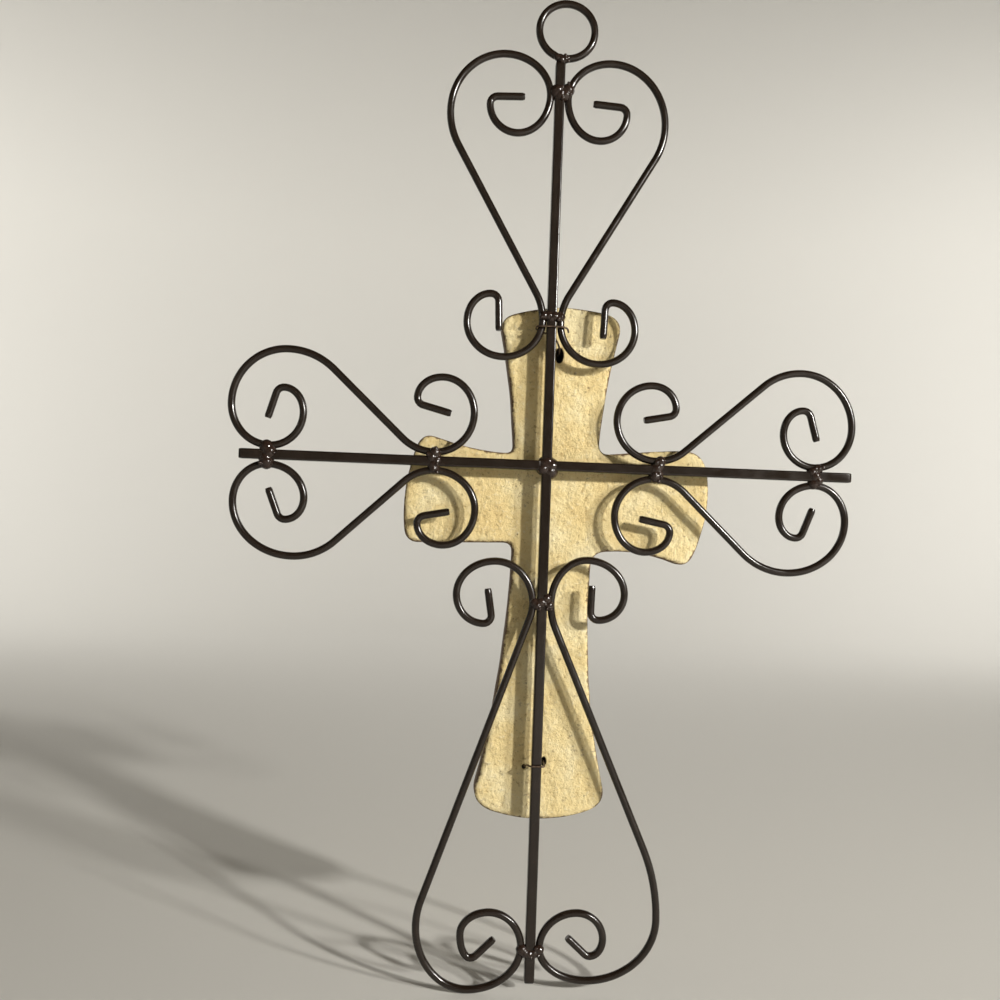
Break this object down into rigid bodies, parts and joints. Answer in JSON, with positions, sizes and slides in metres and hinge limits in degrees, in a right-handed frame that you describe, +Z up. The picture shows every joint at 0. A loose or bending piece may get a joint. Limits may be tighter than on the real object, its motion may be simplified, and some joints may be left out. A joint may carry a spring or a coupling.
{
  "type": "wall cross",
  "caption": "Wall cross of cream-painted clay tied with wire to a dark frame of welded steel bar and scrolled rod, hung on a nail by the ring at its top.",
  "frame": {"origin": "the nail's seat, at the inside top of the hanging ring", "axes": "+Z up, -Y the front with the clay cross, +Y the back towards the wall, +X to the right seen from the front"},
  "size_m": [0.4048, 0.0306, 0.636],
  "materials": {
    "cream_clay": "matt cream paint over clay, worn at the edges",
    "brown_steel": "satin dark brown paint",
    "weld_metal": "painted weld beads, lumpy",
    "dark_wire": "dark annealed wire"
  },
  "bodies": {
    "root": {"clay_cross": "cream_clay", "upright_bar": "brown_steel", "arm_bar_left": "brown_steel", "arm_bar_right": "brown_steel", "hanging_ring": "brown_steel", "heart_scroll_left": "brown_steel", "heart_scroll_right": "brown_steel", "arm_scroll_upper_left": "brown_steel", "arm_scroll_upper_right": "brown_steel", "arm_scroll_lower_left": "brown_steel", "arm_scroll_lower_right": "brown_steel", "bell_scroll_left": "brown_steel", "bell_scroll_right": "brown_steel", "weld_ring": "weld_metal", "weld_heart_top": "weld_metal", "weld_heart_foot": "weld_metal", "weld_crossing": "weld_metal", "weld_bell_top": "weld_metal", "weld_bell_foot": "weld_metal", "weld_left_arm_inner": "weld_metal", "weld_left_arm_outer": "weld_metal", "weld_right_arm_inner": "weld_metal", "weld_right_arm_outer": "weld_metal", "tie_wire_top": "dark_wire", "tie_wire_foot": "dark_wire"}
  },
  "joints": []
}
